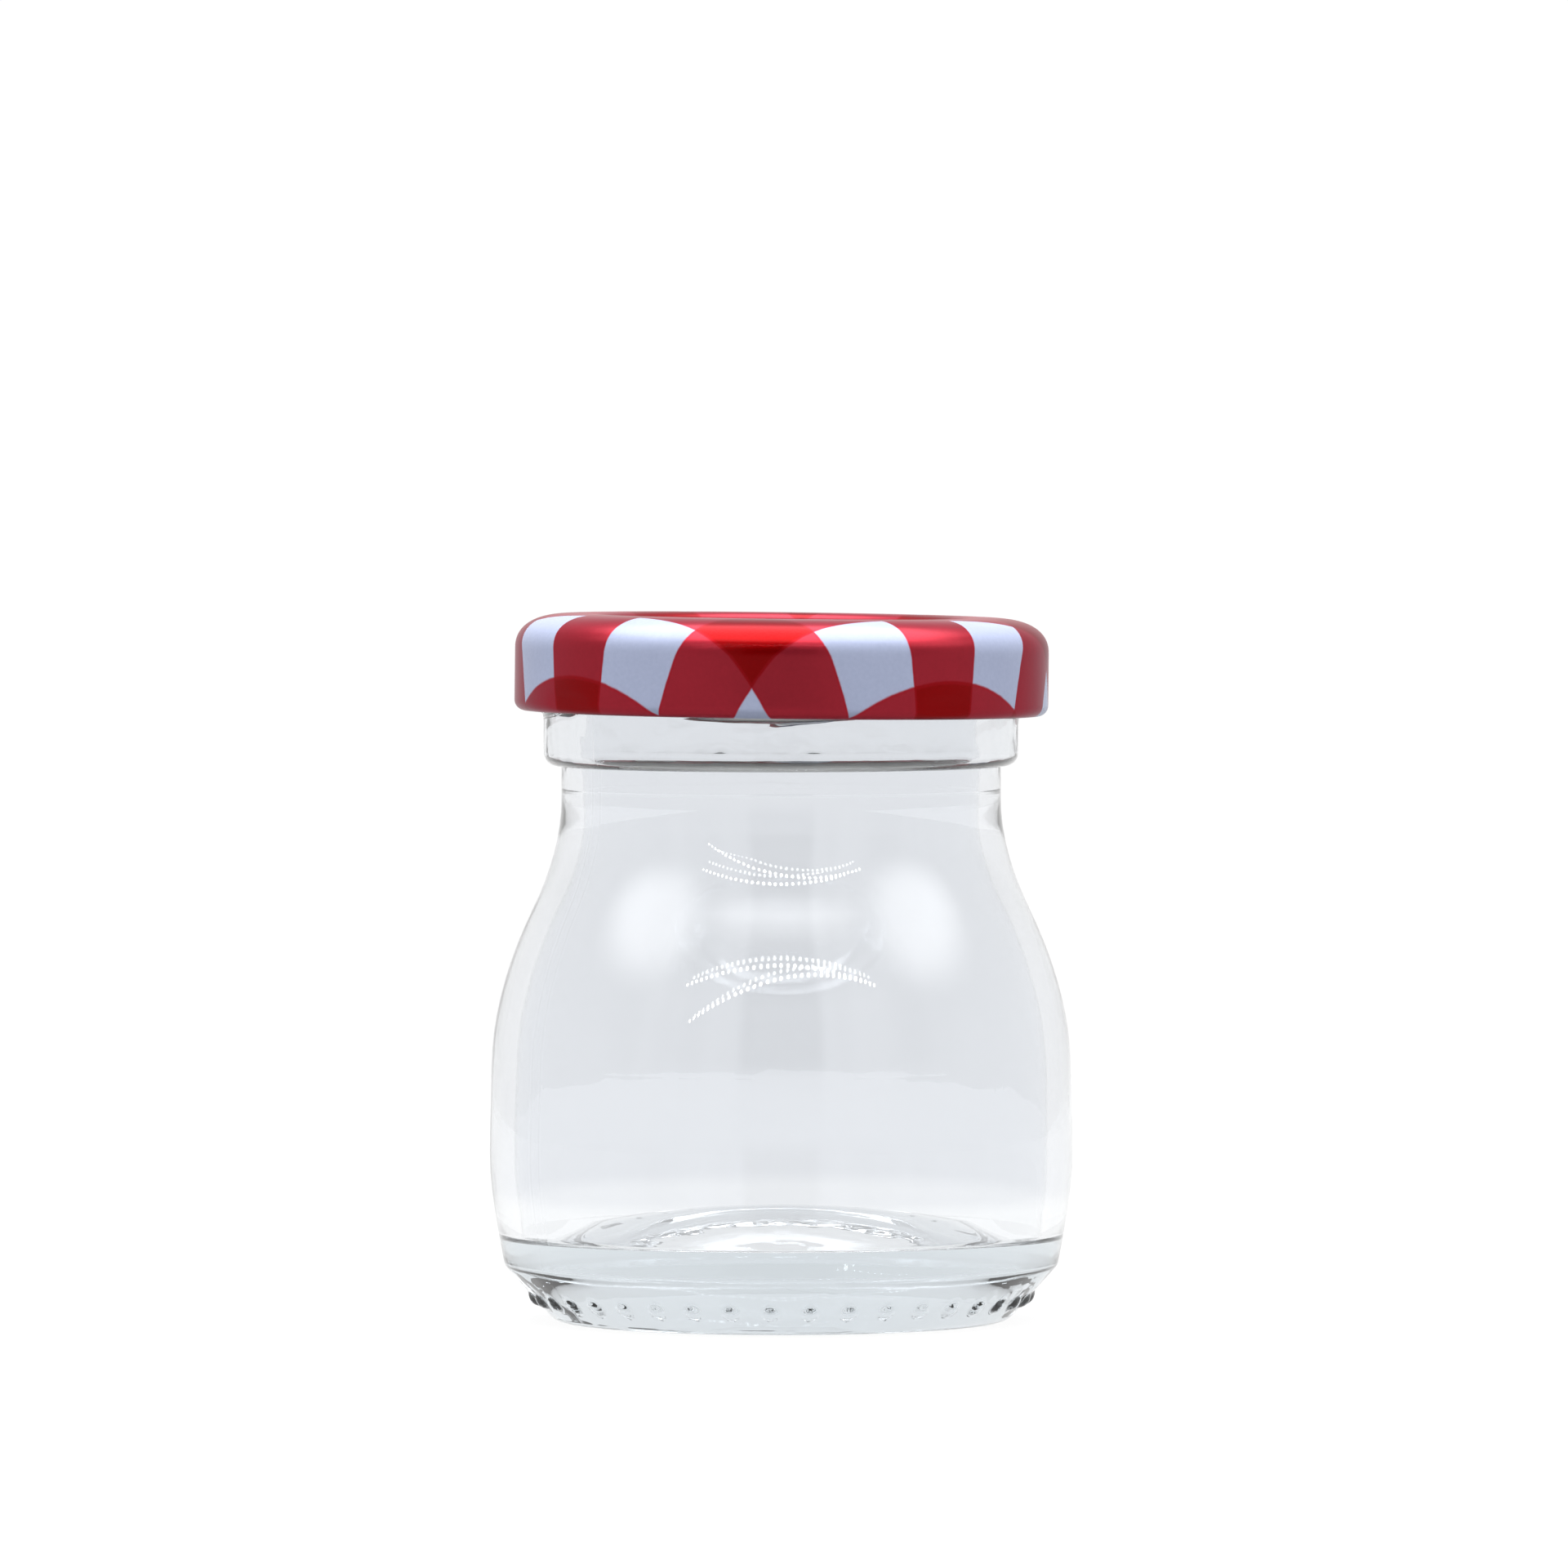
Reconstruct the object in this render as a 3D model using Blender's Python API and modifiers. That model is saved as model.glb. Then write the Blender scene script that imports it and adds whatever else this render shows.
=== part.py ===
"""A small clear glass jar with a narrow neck, a round belly and a printed steel twist-off lid.

The jar stands on its contact ring at z = 0 with its axis on +Z, and the front of the lid's print faces -Y.
"""

import math

import bmesh
import bpy
from mathutils import Matrix, Vector

MM = 0.001

# Turning, and the number of straight pieces in each stretch of an outline
STEPS = 48
MERGE = 0.00001
NECK_PIECES = 4
FLANK_PIECES = 5
BELLY_PIECES = 2
HEEL_PIECES = 5
DOME_PIECES = 3
EDGE_PIECES = 3
SMALL_EDGE_PIECES = 2
INNER_HEEL_PIECES = 4
LID_SHOULDER_PIECES = 8

# Heights of the glass above the surface it stands on
RIM_Z = 65.4 * MM
COLLAR_TOP_Z = 58.9 * MM
COLLAR_BOTTOM_Z = 54.6 * MM
NECK_TOP_Z = 53.0 * MM
NECK_BOTTOM_Z = 50.0 * MM
SHOULDER_Z = 39.4 * MM
BELLY_TOP_Z = 24.5 * MM
BELLY_Z = 16.0 * MM
HEEL_Z = 5.4 * MM
BASE_EDGE_Z = 0.5 * MM

# Outer radii of the glass
FINISH_RADIUS = 22.3 * MM
COLLAR_RADIUS = 22.7 * MM
NECK_RADIUS = 21.0 * MM
SHOULDER_RADIUS = 23.75 * MM
BELLY_TOP_RADIUS = 27.7 * MM
BELLY_RADIUS = 27.9 * MM
HEEL_RADIUS = 26.5 * MM
BASE_EDGE_RADIUS = 22.1 * MM

# How fast the outer radius grows per unit of height going down
SHOULDER_SLOPE = 0.48
BELLY_TOP_SLOPE = 0.02
HEEL_SLOPE = -0.17

# Inside of the glass
WALL = 2.4 * MM
BORE_RADIUS = 18.9 * MM
RIM_ROUNDING = 1.1 * MM
INNER_HEEL_Z = 8.8 * MM
FLOOR_RADIUS = 24.1 * MM
FLOOR_CORNER_Z = 8.0 * MM
FLOOR_EDGE_Z = 8.25 * MM
FLOOR_CENTRE_Z = 11.0 * MM

# Underside of the glass
CONTACT_OUTER_RADIUS = 20.8 * MM
CONTACT_INNER_RADIUS = 19.4 * MM
PUSH_UP_RADIUS = 17.4 * MM
PUSH_UP_EDGE_Z = 1.8 * MM
PUSH_UP_CENTRE_Z = 5.0 * MM
PUSH_UP_BEND = 0.4

# Thread leads on the finish
LEAD_COUNT = 4
LEAD_FIRST_ANGLE = math.radians(-37.3)
LEAD_SPAN = math.radians(80.0)
LEAD_LOW_Z = 56.2 * MM
LEAD_HIGH_Z = 61.1 * MM
LEAD_RADIUS = 0.9 * MM
LEAD_REACH = 23.7 * MM
LEAD_POINTS = 11
LEAD_TAPER_POINTS = 2
LEAD_END_SCALE = 0.45
LEAD_ROUNDING = 2

# Stippled dots round the heel
DOT_COUNT = 40
DOT_FIRST_ANGLE = math.radians(-2.5)
DOT_Z = 2.2 * MM
DOT_LENGTH = 1.6 * MM
DOT_HEIGHT = 1.1 * MM
DOT_PROUD = 0.4 * MM
DOT_SEGMENTS = 8
DOT_RINGS = 4

# Steel lid
LID_BOTTOM_Z = 58.1 * MM
LID_HEIGHT = 9.3 * MM
LID_RADIUS = 25.5 * MM
LID_SHEET = 0.3 * MM
LID_TILT = math.radians(0.7)
SHOULDER_WIDTH = 5.5 * MM
SHOULDER_DROP = 3.4 * MM
SHOULDER_POWER = 2.4
PANEL_RADIUS = 16.6 * MM
PANEL_DROP = 0.7 * MM
PANEL_STEP_WIDTH = 1.0 * MM
CURL_RADIUS = 1.0 * MM
CURL_INNER_RADIUS = 24.2 * MM
CURL_HEIGHT = 1.7 * MM
CURL_NECK_Z = 1.1 * MM

# Lugs pressed inwards from the curl
LUG_COUNT = 4
LUG_FIRST_ANGLE = math.radians(37.5)
LUG_LENGTH = 7.0 * MM
LUG_REACH = 23.1 * MM
LUG_ROOT = 24.6 * MM
LUG_BOTTOM = 0.15 * MM
LUG_TOP = 0.85 * MM

# Sealing ring inside the lid
SEAL_INNER_RADIUS = 19.3 * MM
SEAL_OUTER_RADIUS = 22.6 * MM
SEAL_TOP = 8.7 * MM
SEAL_BOTTOM = 7.9 * MM
SEAL_BEVEL = 0.35 * MM
SEAL_TOP_BEVEL = 0.9 * MM

GLASS = ("clear_glass", (0.86, 0.90, 0.92, 1.0), 0.04, 0.0, 1.0)
ENAMEL = ("printed_steel", (0.62, 0.09, 0.13, 1.0), 0.28, 0.0, 0.0)
COMPOUND = ("sealing_compound", (0.86, 0.85, 0.80, 1.0), 0.55, 0.0, 0.0)


def clear_scene():
    for thing in list(bpy.data.objects):
        bpy.data.objects.remove(thing)


def make_collection(name):
    group = bpy.data.collections.new(name)
    bpy.context.scene.collection.children.link(group)
    return group


def make_material(name, color, roughness, metallic, transmission):
    material = bpy.data.materials.new(name)
    material.use_nodes = True
    shader = material.node_tree.nodes["Principled BSDF"]
    shader.inputs["Base Color"].default_value = color
    shader.inputs["Roughness"].default_value = roughness
    shader.inputs["Metallic"].default_value = metallic
    shader.inputs["Transmission Weight"].default_value = transmission
    return material


# Curves in the plane of a profile, each point a (radius, height) pair


def arc(centre, radii, start, end, count):
    """Points on an ellipse about centre, from the start angle to the end angle in degrees."""
    points = []
    for index in range(count + 1):
        angle = math.radians(start + (end - start) * index / count)
        radius = centre[0] + radii[0] * math.cos(angle)
        height = centre[1] + radii[1] * math.sin(angle)
        points.append((radius, height))
    return points


def squared_arc(centre, radii, count):
    """The quarter of a squared-off ellipse from its top to its side."""
    points = []
    for index in range(count + 1):
        angle = math.pi / 2 * index / count
        across = math.sin(angle) ** (2 / SHOULDER_POWER)
        up = max(math.cos(angle), 0.0) ** (2 / SHOULDER_POWER)
        points.append((centre[0] + radii[0] * across, centre[1] + radii[1] * up))
    return points


def soft_corner(start, corner, end, count):
    """A quadratic curve from start to end that leaves and arrives along the lines to corner."""
    points = []
    for index in range(count + 1):
        t = index / count
        a = (1 - t) ** 2
        b = 2 * t * (1 - t)
        c = t * t
        radius = a * start[0] + b * corner[0] + c * end[0]
        height = a * start[1] + b * corner[1] + c * end[1]
        points.append((radius, height))
    return points


def sweep_down(start, end, start_slope, end_slope, count):
    """A cubic from a higher point to a lower one, with the growth of radius per unit of drop at each end."""
    drop = start[1] - end[1]
    points = []
    for index in range(count + 1):
        t = index / count
        radius = (
            (2 * t**3 - 3 * t**2 + 1) * start[0]
            + (3 * t**2 - 2 * t**3) * end[0]
            + (t**3 - 2 * t**2 + t) * start_slope * drop
            + (t**3 - t**2) * end_slope * drop
        )
        points.append((radius, start[1] - t * drop))
    return points


def dome(edge_radius, edge_height, centre_height, count):
    """A shallow parabola from the axis out to its edge."""
    points = []
    for index in range(count + 1):
        t = index / count
        points.append((edge_radius * t, centre_height + (edge_height - centre_height) * t * t))
    return points


def without_repeats(points):
    kept = [points[0]]
    for point in points[1:]:
        if (Vector(point) - Vector(kept[-1])).length > MERGE:
            kept.append(point)
    return kept


# Turned shapes


def turned(name, profile, group, material, closed=False):
    """Turns a profile about +Z. The profile runs down its outer side."""
    points = without_repeats(profile)
    edges = [(index, index + 1) for index in range(len(points) - 1)]
    if closed:
        edges.append((len(points) - 1, 0))
    mesh = bpy.data.meshes.new(name)
    mesh.from_pydata([(radius, 0.0, height) for radius, height in points], edges, [])
    mesh.materials.append(material)
    thing = bpy.data.objects.new(name, mesh)
    group.objects.link(thing)
    screw = thing.modifiers.new("Turn", "SCREW")
    screw.axis = "Z"
    screw.steps = STEPS
    screw.render_steps = STEPS
    screw.use_merge_vertices = True
    screw.merge_threshold = MERGE
    screw.use_smooth_shade = True
    return thing


def add_union(thing, group):
    union = thing.modifiers.new("Fused details", "BOOLEAN")
    union.operation = "UNION"
    union.operand_type = "COLLECTION"
    union.collection = group
    union.solver = "EXACT"


def as_cutter(thing):
    thing.hide_render = True
    thing.display_type = "WIRE"


# The glass


def body_outline():
    """The outer side from the neck down to the heel."""
    neck = (NECK_RADIUS, NECK_BOTTOM_Z)
    shoulder = (SHOULDER_RADIUS, SHOULDER_Z)
    belly_top = (BELLY_TOP_RADIUS, BELLY_TOP_Z)
    belly = (BELLY_RADIUS, BELLY_Z)
    heel = (HEEL_RADIUS, HEEL_Z)
    outline = sweep_down(neck, shoulder, 0.0, SHOULDER_SLOPE, NECK_PIECES)
    outline += sweep_down(shoulder, belly_top, SHOULDER_SLOPE, BELLY_TOP_SLOPE, FLANK_PIECES)
    outline += sweep_down(belly_top, belly, BELLY_TOP_SLOPE, 0.0, BELLY_PIECES)
    outline += sweep_down(belly, heel, 0.0, HEEL_SLOPE, HEEL_PIECES)
    return outline


def finish_outline():
    """The outer side from the rim down to the neck: rim, finish wall, collar."""
    rim_centre = (FINISH_RADIUS - RIM_ROUNDING, RIM_Z - RIM_ROUNDING)
    outline = arc(rim_centre, (RIM_ROUNDING, RIM_ROUNDING), 90, 0, EDGE_PIECES)
    outline.append((FINISH_RADIUS, COLLAR_TOP_Z + COLLAR_RADIUS - FINISH_RADIUS))
    outline.append((COLLAR_RADIUS, COLLAR_TOP_Z))
    outline += soft_corner(
        (COLLAR_RADIUS, COLLAR_BOTTOM_Z),
        (COLLAR_RADIUS, NECK_TOP_Z),
        (NECK_RADIUS, NECK_TOP_Z),
        EDGE_PIECES,
    )
    return outline


def base_outline():
    """The chamfered heel, the flat contact ring and the push-up under the jar."""
    outline = soft_corner(
        (BASE_EDGE_RADIUS, BASE_EDGE_Z),
        (BASE_EDGE_RADIUS - BASE_EDGE_Z, 0.0),
        (CONTACT_OUTER_RADIUS, 0.0),
        SMALL_EDGE_PIECES,
    )
    outline += soft_corner(
        (CONTACT_INNER_RADIUS, 0.0),
        (PUSH_UP_RADIUS + PUSH_UP_BEND * (CONTACT_INNER_RADIUS - PUSH_UP_RADIUS), PUSH_UP_EDGE_Z),
        (PUSH_UP_RADIUS, PUSH_UP_EDGE_Z),
        SMALL_EDGE_PIECES,
    )
    outline += reversed(dome(PUSH_UP_RADIUS, PUSH_UP_EDGE_Z, PUSH_UP_CENTRE_Z, DOME_PIECES))
    return outline


def inner_outline():
    """The inside, from the middle of the floor up to the rim."""
    inner_wall = []
    for radius, height in body_outline():
        if height > INNER_HEEL_Z:
            inner_wall.append((max(radius - WALL, BORE_RADIUS), height))
    inner_wall.reverse()
    outline = dome(FLOOR_RADIUS, FLOOR_EDGE_Z, FLOOR_CENTRE_Z, DOME_PIECES)
    outline += soft_corner(
        (FLOOR_RADIUS, FLOOR_EDGE_Z),
        (inner_wall[0][0], FLOOR_CORNER_Z),
        inner_wall[0],
        INNER_HEEL_PIECES,
    )
    outline += inner_wall
    rim_centre = (BORE_RADIUS + RIM_ROUNDING, RIM_Z - RIM_ROUNDING)
    outline += arc(rim_centre, (RIM_ROUNDING, RIM_ROUNDING), 180, 90, EDGE_PIECES)
    return outline


def lead_path(first_angle):
    """The centre line of one thread lead, rising anticlockwise seen from above."""
    points = []
    centre_radius = LEAD_REACH - LEAD_RADIUS
    for index in range(LEAD_POINTS):
        share = index / (LEAD_POINTS - 1)
        angle = first_angle + LEAD_SPAN * share
        height = LEAD_LOW_Z + (LEAD_HIGH_Z - LEAD_LOW_Z) * share
        from_end = min(index, LEAD_POINTS - 1 - index)
        taper = min(from_end / LEAD_TAPER_POINTS, 1.0)
        scale = LEAD_END_SCALE + (1.0 - LEAD_END_SCALE) * taper
        sunk = centre_radius - (1.0 - scale) * LEAD_RADIUS
        place = Vector((sunk * math.sin(angle), -sunk * math.cos(angle), height))
        points.append((place, scale))
    return points


def make_lead(index, group):
    name = f"thread_lead_{index}"
    curve = bpy.data.curves.new(name, "CURVE")
    curve.dimensions = "3D"
    curve.bevel_depth = LEAD_RADIUS
    curve.bevel_resolution = LEAD_ROUNDING
    curve.use_fill_caps = True
    spline = curve.splines.new("POLY")
    spline.points.add(LEAD_POINTS - 1)
    first_angle = LEAD_FIRST_ANGLE + index * math.tau / LEAD_COUNT
    for point, (place, scale) in zip(spline.points, lead_path(first_angle)):
        point.co = (*place, 1.0)
        point.radius = scale
    guide = bpy.data.objects.new(name + "_guide", curve)
    group.objects.link(guide)
    bpy.context.view_layer.update()
    evaluated = guide.evaluated_get(bpy.context.evaluated_depsgraph_get())
    mesh = bpy.data.meshes.new_from_object(evaluated)
    shape = bmesh.new()
    shape.from_mesh(mesh)
    bmesh.ops.remove_doubles(shape, verts=shape.verts, dist=MERGE)
    shape.to_mesh(mesh)
    shape.free()
    lead = bpy.data.objects.new(name, mesh)
    lead.matrix_world = guide.matrix_world
    group.objects.link(lead)
    as_cutter(lead)
    bpy.data.objects.remove(guide)


def heel_radius_at(height):
    """The radius of the chamfer between the base edge and the heel."""
    share = (height - BASE_EDGE_Z) / (HEEL_Z - BASE_EDGE_Z)
    return BASE_EDGE_RADIUS + share * (HEEL_RADIUS - BASE_EDGE_RADIUS)


def make_dots(group):
    """Small flattened beads, half sunk in the chamfer of the heel."""
    shape = bmesh.new()
    bmesh.ops.create_uvsphere(shape, u_segments=DOT_SEGMENTS, v_segments=DOT_RINGS, radius=1.0)
    size = Matrix.Diagonal((DOT_LENGTH / 2, DOT_PROUD, DOT_HEIGHT / 2, 1.0))
    bmesh.ops.transform(shape, matrix=size, verts=shape.verts)
    mesh = bpy.data.meshes.new("heel_dot")
    shape.to_mesh(mesh)
    shape.free()
    lean = math.atan2(HEEL_RADIUS - BASE_EDGE_RADIUS, HEEL_Z - BASE_EDGE_Z)
    for index in range(DOT_COUNT):
        angle = DOT_FIRST_ANGLE + index * math.tau / DOT_COUNT
        radius = heel_radius_at(DOT_Z) * math.cos(math.pi / STEPS)
        dot = bpy.data.objects.new(f"heel_dot_{index:02d}", mesh)
        turn = Matrix.Rotation(angle, 4, "Z")
        out = Matrix.Translation((0.0, -radius, DOT_Z))
        tip = Matrix.Rotation(lean, 4, "X")
        dot.matrix_world = turn @ out @ tip
        group.objects.link(dot)
        as_cutter(dot)


def make_jar(parts, material):
    profile = inner_outline() + finish_outline() + body_outline() + base_outline()
    jar = turned("glass_jar", profile, parts, material)
    details = make_collection("glass_jar_details")
    for index in range(LEAD_COUNT):
        make_lead(index, details)
    make_dots(details)
    add_union(jar, details)


# The lid and its sealing ring, in the lid's own frame with z = 0 at the lower edge


def lid_outer_outline():
    """From the middle of the top out over the shoulder and down to the curl."""
    panel_z = LID_HEIGHT - PANEL_DROP
    shoulder_centre = (LID_RADIUS - SHOULDER_WIDTH, LID_HEIGHT - SHOULDER_DROP)
    outline = [(0.0, panel_z), (PANEL_RADIUS, panel_z)]
    outline.append((PANEL_RADIUS + PANEL_STEP_WIDTH, LID_HEIGHT))
    outline += squared_arc(shoulder_centre, (SHOULDER_WIDTH, SHOULDER_DROP), LID_SHOULDER_PIECES)
    curl_centre = (LID_RADIUS - CURL_RADIUS, CURL_RADIUS)
    outline += arc(curl_centre, (CURL_RADIUS, CURL_RADIUS), 0, -90, EDGE_PIECES)
    return outline


def lid_inner_outline():
    """From the inside of the curl up the skirt and in to the middle of the underside."""
    inner_radius = LID_RADIUS - LID_SHEET
    outline = [(CURL_INNER_RADIUS, LID_RADIUS - CURL_RADIUS - CURL_INNER_RADIUS)]
    outline.append((CURL_INNER_RADIUS, CURL_NECK_Z))
    outline.append((inner_radius, CURL_HEIGHT))
    shoulder_centre = (LID_RADIUS - SHOULDER_WIDTH, LID_HEIGHT - SHOULDER_DROP)
    shoulder_radii = (SHOULDER_WIDTH - LID_SHEET, SHOULDER_DROP - LID_SHEET)
    outline += reversed(squared_arc(shoulder_centre, shoulder_radii, LID_SHOULDER_PIECES))
    panel_z = LID_HEIGHT - PANEL_DROP - LID_SHEET
    outline.append((PANEL_RADIUS + PANEL_STEP_WIDTH + LID_SHEET, LID_HEIGHT - LID_SHEET))
    outline += [(PANEL_RADIUS + LID_SHEET, panel_z), (0.0, panel_z)]
    return outline


def make_lugs(seat, group):
    shape = bmesh.new()
    bmesh.ops.create_cube(shape, size=1.0)
    size = Matrix.Diagonal((LUG_LENGTH, LUG_ROOT - LUG_REACH, LUG_TOP - LUG_BOTTOM, 1.0))
    bmesh.ops.transform(shape, matrix=size, verts=shape.verts)
    mesh = bpy.data.meshes.new("lid_lug")
    shape.to_mesh(mesh)
    shape.free()
    middle = (LUG_REACH + LUG_ROOT) / 2
    for index in range(LUG_COUNT):
        angle = LUG_FIRST_ANGLE + index * math.tau / LUG_COUNT
        lug = bpy.data.objects.new(f"lid_lug_{index}", mesh)
        lug.parent = seat
        lug.location = (middle * math.sin(angle), -middle * math.cos(angle), (LUG_BOTTOM + LUG_TOP) / 2)
        lug.rotation_euler = (0.0, 0.0, angle)
        group.objects.link(lug)
        as_cutter(lug)


def make_lid(parts, seat, material):
    lid = turned("lid", lid_outer_outline() + lid_inner_outline(), parts, material)
    lid.parent = seat
    lugs = make_collection("lid_lugs")
    make_lugs(seat, lugs)
    add_union(lid, lugs)


def make_sealing_ring(parts, seat, material):
    profile = [
        (SEAL_INNER_RADIUS, SEAL_TOP),
        (SEAL_OUTER_RADIUS - SEAL_TOP_BEVEL, SEAL_TOP),
        (SEAL_OUTER_RADIUS, SEAL_TOP - SEAL_BEVEL),
        (SEAL_OUTER_RADIUS, SEAL_BOTTOM + SEAL_BEVEL / 2),
        (SEAL_OUTER_RADIUS - SEAL_BEVEL, SEAL_BOTTOM),
        (SEAL_INNER_RADIUS + SEAL_BEVEL, SEAL_BOTTOM),
        (SEAL_INNER_RADIUS, SEAL_BOTTOM + SEAL_BEVEL / 2),
    ]
    ring = turned("sealing_ring", profile, parts, material, closed=True)
    ring.parent = seat


def main():
    clear_scene()
    parts = make_collection("glass_jar_with_lid")
    make_jar(parts, make_material(*GLASS))
    seat = bpy.data.objects.new("lid_seat", None)
    seat.location = (0.0, 0.0, LID_BOTTOM_Z)
    seat.rotation_euler = (0.0, LID_TILT, 0.0)
    parts.objects.link(seat)
    make_lid(parts, seat, make_material(*ENAMEL))
    make_sealing_ring(parts, seat, make_material(*COMPOUND))


main()
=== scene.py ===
import bisect
import math

import bpy
from mathutils import Matrix, Vector


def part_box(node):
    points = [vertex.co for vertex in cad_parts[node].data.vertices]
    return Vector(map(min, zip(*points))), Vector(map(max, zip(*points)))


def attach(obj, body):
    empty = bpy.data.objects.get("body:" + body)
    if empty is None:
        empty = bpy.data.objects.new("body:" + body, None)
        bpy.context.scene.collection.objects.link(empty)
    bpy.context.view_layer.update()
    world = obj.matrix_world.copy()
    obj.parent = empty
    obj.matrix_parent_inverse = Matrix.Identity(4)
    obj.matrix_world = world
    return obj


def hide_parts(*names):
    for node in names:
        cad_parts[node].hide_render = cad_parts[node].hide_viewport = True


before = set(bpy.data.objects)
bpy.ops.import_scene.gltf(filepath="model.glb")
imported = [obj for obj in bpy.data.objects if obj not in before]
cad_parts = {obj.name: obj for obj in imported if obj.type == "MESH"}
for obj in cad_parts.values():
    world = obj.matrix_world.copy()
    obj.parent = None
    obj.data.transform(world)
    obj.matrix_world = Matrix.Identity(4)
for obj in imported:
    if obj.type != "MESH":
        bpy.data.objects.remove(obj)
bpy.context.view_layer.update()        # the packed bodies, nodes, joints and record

bl_info = {
    "name": "Glass Jar with a Twist-off Lid",
    "version": (1, 0, 0),
    "blender": (4, 5, 0),
    "location": "View3D > Sidebar > Jar",
    "description": "Models a small clear glass jar, its gingham steel lid and a plain studio",
    "category": "Add Mesh",
}

MM = 0.001
SAME_PLACE = 0.004 * MM
GLASS_IOR = 1.52
VARNISH_IOR = 1.5
GLASS_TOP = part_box("glass_jar")[1]

# How fast the outer radius of the glass grows going down
SHOULDER_SLOPE = 0.48
BELLY_TOP_SLOPE = 0.02
HEEL_SLOPE = -0.17
PUSH_UP_BEND = 0.4

# The thread leads' rounding, the share of their length that tapers, and half their run-out
LEAD_POWER = 1.6
LEAD_TAPER = 0.16
LEAD_FADE = 0.4 * MM

# How far up a face of the lid has to look to carry print
PRINT_FACING = 0.3

# Linear colours
INK_EDGE = (0.25, 0.004, 0.010, 1.0)
LACQUER = ((0.78, 0.77, 0.73, 1.0), (0.70, 0.70, 0.68, 1.0))
COMPOUND = ((0.82, 0.81, 0.75, 1.0), (0.70, 0.69, 0.63, 1.0))
PAPER = ((0.04, 0.04, 0.04, 1.0), (0.03, 0.03, 0.03, 1.0))

# The light by direction, where height is the sine of the angle above the table
UPPER_HEIGHT = (0.12, 0.30)
OVERHEAD_HEIGHT = (0.66, 0.86)
FRONT_HEIGHT = (-0.04, 0.12)
FRONT_FACING = (0.10, 0.50)
BAND_SCALE = 2.4
BAND_CONTRAST = 1.6
BAND_LEAST = 0.2
LAMP_FALL = (0.5, 1.3)
SOFTBOX_FALL = (0.45, 1.25)
SOFT_EDGE = 0.05
DARK_LIGHT = 0.05


# Settings


def length(name, description, default):
    return bpy.props.FloatProperty(
        name=name, description=description, default=default, unit="LENGTH", precision=5
    )


def angle(name, description, degrees):
    return bpy.props.FloatProperty(
        name=name, description=description, default=math.radians(degrees), subtype="ANGLE"
    )


def number(name, description, default):
    return bpy.props.FloatProperty(name=name, description=description, default=default, precision=4)


def count(name, description, default):
    return bpy.props.IntProperty(name=name, description=description, default=default, min=1)


def shade(name, description, default):
    return bpy.props.FloatVectorProperty(
        name=name, description=description, default=default, subtype="COLOR", min=0.0, max=1.0
    )


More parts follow.
